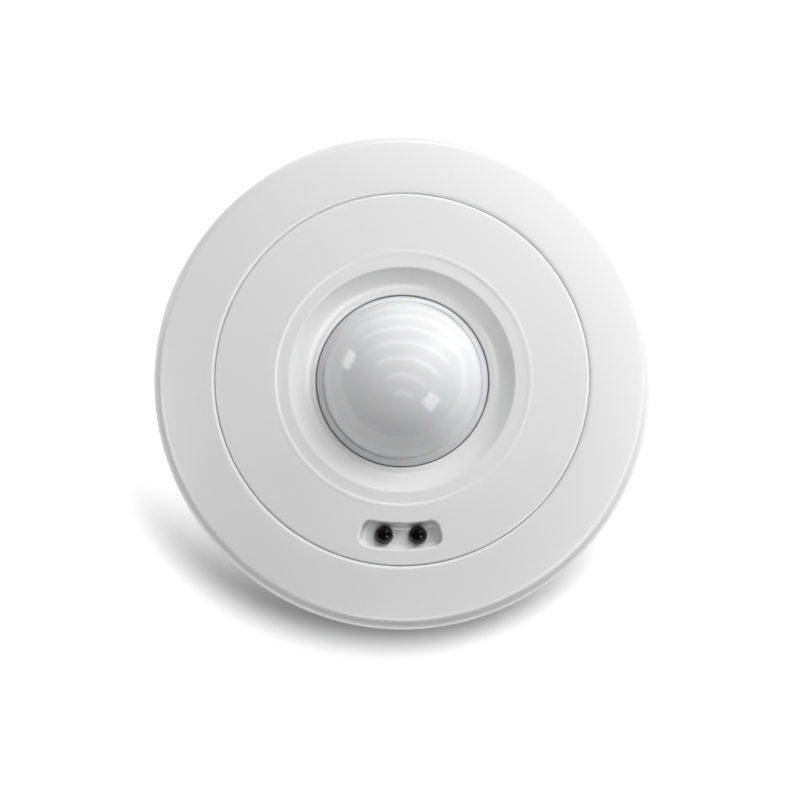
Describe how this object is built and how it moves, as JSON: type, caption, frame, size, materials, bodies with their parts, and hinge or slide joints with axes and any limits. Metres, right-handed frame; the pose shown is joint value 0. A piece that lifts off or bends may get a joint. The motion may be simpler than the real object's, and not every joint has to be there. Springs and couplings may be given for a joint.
{
  "type": "motion sensor",
  "caption": "Round ceiling passive-infrared motion sensor: white dished disc with a domed lens in a shallow bowl, infrared sensing window, lift-off cover and twist-off mounting plate.",
  "frame": {"origin": "centre of the mounting plate's flat back face", "axes": "+Z out of the back face through the lens, away from the ceiling; -Y from the centre towards the pair of infrared LEDs"},
  "size_m": [0.135, 0.135, 0.033],
  "materials": {
    "shell_plastic": "smooth satin-gloss white moulded plastic",
    "rear_plastic": "finely textured white moulded plastic",
    "lens_plastic": "translucent milky white polyethylene, glossy outside, ring grooves inside",
    "seal_rubber": "soft dark foam rubber",
    "circuit_board": "green solder mask over copper tracks",
    "screw_steel": "zinc-plated steel",
    "sensor_metal": "nickel-plated metal can",
    "sensor_window": "dark infrared filter",
    "black_plastic": "black moulding compound",
    "infrared_lens": "glossy black infrared-passing epoxy",
    "indicator_lens": "glossy red diffused epoxy",
    "terminal_plastic": "green moulded plastic",
    "switch_plastic": "blue moulded plastic",
    "white_plastic": "off-white moulded plastic"
  },
  "bodies": {
    "base": {"mounting_plate": "rear_plastic"},
    "head": {"rear_housing": "rear_plastic", "outer_ring_cover": "shell_plastic", "ring_screw_1": "screw_steel", "ring_screw_2": "screw_steel", "ring_screw_3": "screw_steel", "main_pcb": "circuit_board", "pcb_screw_1": "screw_steel", "pcb_screw_2": "screw_steel", "pcb_screw_3": "screw_steel", "pyro_sensor_can": "sensor_metal", "pyro_sensor_window": "sensor_window", "pyro_gasket": "seal_rubber", "led_holder": "black_plastic", "ir_led_left": "infrared_lens", "ir_led_right": "infrared_lens", "walk_test_led": "indicator_lens", "terminal_block": "terminal_plastic", "terminal_screw_1": "screw_steel", "terminal_screw_2": "screw_steel", "terminal_screw_3": "screw_steel", "terminal_screw_4": "screw_steel", "terminal_screw_5": "screw_steel", "terminal_screw_6": "screw_steel", "tamper_switch_body": "black_plastic", "tamper_spring": "screw_steel", "dip_switch_body": "switch_plastic", "trimmer_body": "switch_plastic", "microcontroller": "black_plastic", "relay": "white_plastic", "capacitor_1": "black_plastic", "capacitor_2": "black_plastic", "crystal": "sensor_metal"},
    "front_cover": {"inner_cover": "shell_plastic", "lens_dome": "lens_plastic", "lens_seal": "seal_rubber", "lens_retaining_ring": "rear_plastic"},
    "tamper_button": {"tamper_plunger": "white_plastic"},
    "dip_lever_1": {"dip_slider_1": "white_plastic"},
    "dip_lever_2": {"dip_slider_2": "white_plastic"},
    "dip_lever_3": {"dip_slider_3": "white_plastic"},
    "dip_lever_4": {"dip_slider_4": "white_plastic"},
    "trimmer_wiper": {"trimmer_rotor": "white_plastic"}
  },
  "joints": [
    {"name": "head_twist", "type": "hinge", "parent": "base", "child": "head", "pos_m": [0, 0, 0], "axis": [0, 0, 1], "range_deg": [0, 20]},
    {"name": "inner_cover_lift", "type": "slide", "parent": "head", "child": "front_cover", "axis": [0, 0, 1], "range_m": [0, 0.025]},
    {"name": "tamper_press", "type": "slide", "parent": "head", "child": "tamper_button", "axis": [0, 0, 1], "range_m": [-0.001, 0], "stiffness_N_per_m": 300, "springref_m": 0.0015, "deforming": ["tamper_spring"]},
    {"name": "dip_slide_1", "type": "slide", "parent": "head", "child": "dip_lever_1", "axis": [1, 0, 0], "range_m": [0, 0.002]},
    {"name": "dip_slide_2", "type": "slide", "parent": "head", "child": "dip_lever_2", "axis": [1, 0, 0], "range_m": [0, 0.002]},
    {"name": "dip_slide_3", "type": "slide", "parent": "head", "child": "dip_lever_3", "axis": [1, 0, 0], "range_m": [0, 0.002]},
    {"name": "dip_slide_4", "type": "slide", "parent": "head", "child": "dip_lever_4", "axis": [1, 0, 0], "range_m": [0, 0.002]},
    {"name": "trimmer_turn", "type": "hinge", "parent": "head", "child": "trimmer_wiper", "pos_m": [-0.034, -0.012, 0.0132], "axis": [0, 0, 1], "range_deg": [-135, 135]}
  ]
}
